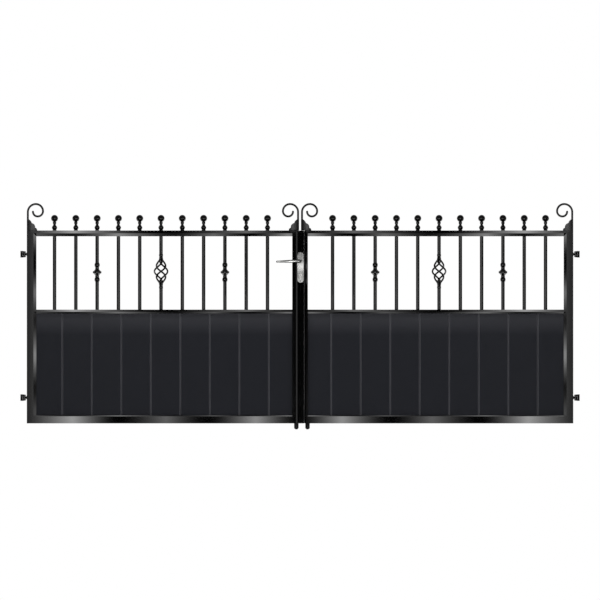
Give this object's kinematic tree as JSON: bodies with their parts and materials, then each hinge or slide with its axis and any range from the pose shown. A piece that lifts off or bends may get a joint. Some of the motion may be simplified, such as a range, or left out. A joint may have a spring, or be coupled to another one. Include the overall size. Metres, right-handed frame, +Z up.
{
  "type": "aluminium driveway gate",
  "caption": "Double-leaf driveway gate in black coated aluminium: boarded below, round bars with ball finials, basket twists, collars and scrolls above, lever lock and drop bolts.",
  "frame": {"origin": "centre of the flat post face of the lower left hinge fork", "axes": "+X along the gate from left to right as seen from the street, +Y to the back, +Z up"},
  "size_m": [3.07, 0.172, 1.2428],
  "materials": {
    "gloss_coat": "gloss",
    "board_coat": "satin",
    "satin_steel": "satin",
    "cylinder_metal": "satin",
    "seal_rubber": "matte",
    "pin_steel": "satin",
    "bolt_steel": "satin"
  },
  "bodies": {
    "posts_side": {"left_lower_hinge_fork": "gloss_coat", "left_upper_hinge_fork": "gloss_coat", "left_hinge_pins": "pin_steel", "right_lower_hinge_fork": "gloss_coat", "right_upper_hinge_fork": "gloss_coat", "right_hinge_pins": "pin_steel"},
    "left_leaf": {"left_hinge_stile": "gloss_coat", "left_top_rail": "gloss_coat", "left_mid_rail": "gloss_coat", "left_bottom_rail": "gloss_coat", "left_boards": "board_coat", "left_bars": "gloss_coat", "left_bar_collars": "gloss_coat", "left_basket_bar": "gloss_coat", "left_ball_finials": "gloss_coat", "left_scrolls": "gloss_coat", "left_scroll_brackets": "gloss_coat", "left_hinge_eyes": "gloss_coat", "left_drop_bolt_guides": "gloss_coat", "left_meeting_stile": "gloss_coat", "left_lock_strip": "gloss_coat", "left_front_handle_plate": "satin_steel", "left_rear_handle_plate": "satin_steel", "left_lock_cylinder": "cylinder_metal"},
    "right_leaf": {"right_hinge_stile": "gloss_coat", "right_top_rail": "gloss_coat", "right_mid_rail": "gloss_coat", "right_bottom_rail": "gloss_coat", "right_boards": "board_coat", "right_bars": "gloss_coat", "right_bar_collars": "gloss_coat", "right_basket_bar": "gloss_coat", "right_ball_finials": "gloss_coat", "right_scrolls": "gloss_coat", "right_scroll_brackets": "gloss_coat", "right_hinge_eyes": "gloss_coat", "right_drop_bolt_guides": "gloss_coat", "right_meeting_stile": "gloss_coat", "right_meeting_seal": "seal_rubber"},
    "lever": {"front_lever": "satin_steel", "rear_lever": "satin_steel"},
    "left_bolt": {"left_drop_bolt": "bolt_steel"},
    "right_bolt": {"right_drop_bolt": "bolt_steel"}
  },
  "joints": [
    {"name": "left_leaf_swing", "type": "hinge", "parent": "posts_side", "child": "left_leaf", "pos_m": [0.021, 0, 0], "axis": [0, 0, 1], "range_deg": [0, 90]},
    {"name": "right_leaf_swing", "type": "hinge", "parent": "posts_side", "child": "right_leaf", "pos_m": [3.049, 0, 0], "axis": [0, 0, -1], "range_deg": [0, 90]},
    {"name": "lever_turn", "type": "hinge", "parent": "left_leaf", "child": "lever", "pos_m": [1.5375, 0, 0.749], "axis": [0, -1, 0], "range_deg": [0, 45], "stiffness_Nm_per_rad": 1.2, "springref_deg": -34.38},
    {"name": "left_bolt_lift", "type": "slide", "parent": "left_leaf", "child": "left_bolt", "axis": [0, 0, 1], "range_m": [0, 0.1]},
    {"name": "right_bolt_lift", "type": "slide", "parent": "right_leaf", "child": "right_bolt", "axis": [0, 0, 1], "range_m": [0, 0.1]}
  ]
}
